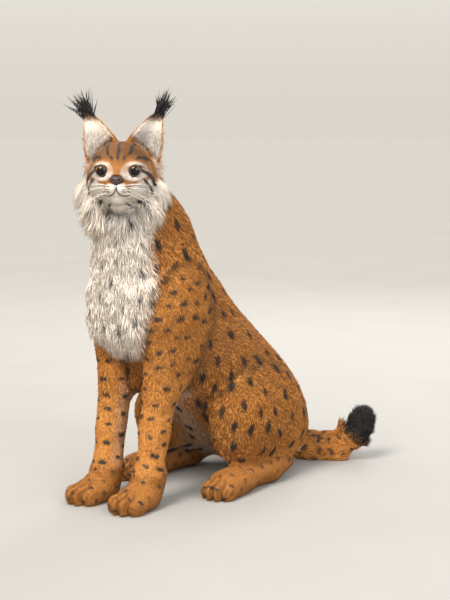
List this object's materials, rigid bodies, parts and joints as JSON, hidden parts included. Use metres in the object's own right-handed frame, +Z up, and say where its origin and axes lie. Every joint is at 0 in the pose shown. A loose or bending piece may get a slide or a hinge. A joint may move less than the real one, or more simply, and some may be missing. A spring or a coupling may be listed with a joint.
{
  "type": "eurasian lynx, life-size still model",
  "caption": "Life-size still model of a sitting Eurasian lynx with tufted ears, cheek ruff, pale chest bib and short black-tipped tail",
  "frame": {"origin": "on the floor, under the middle of the whole animal's box", "axes": "+Z up; the body faces -Y, and the head is turned towards +X, the animal's left"},
  "size_m": [0.3764, 0.7738, 0.8382],
  "materials": {
    "coat": "short dense ochre-brown fur with dark spots",
    "pale_hair": "long soft cream hair",
    "dark_hair": "stiff near-black hair",
    "nose_skin": "bare moist pebbled skin",
    "eye": "wet amber eye with a dark pupil"
  },
  "bodies": {
    "root": {"head": "coat", "nose": "nose_skin", "neck": "coat", "torso": "coat", "eye_left": "eye", "eye_right": "eye", "ear_left": "coat", "ear_right": "coat", "ear_tuft_left": "dark_hair", "ear_tuft_right": "dark_hair", "cheek_ruff_left": "pale_hair", "cheek_ruff_right": "pale_hair", "chest_bib": "pale_hair", "foreleg_left": "coat", "foreleg_right": "coat", "forepaw_left": "coat", "forepaw_right": "coat", "thigh_left": "coat", "thigh_right": "coat", "hind_foot_left": "coat", "hind_foot_right": "coat", "tail": "coat", "tail_tip": "dark_hair"}
  },
  "joints": []
}
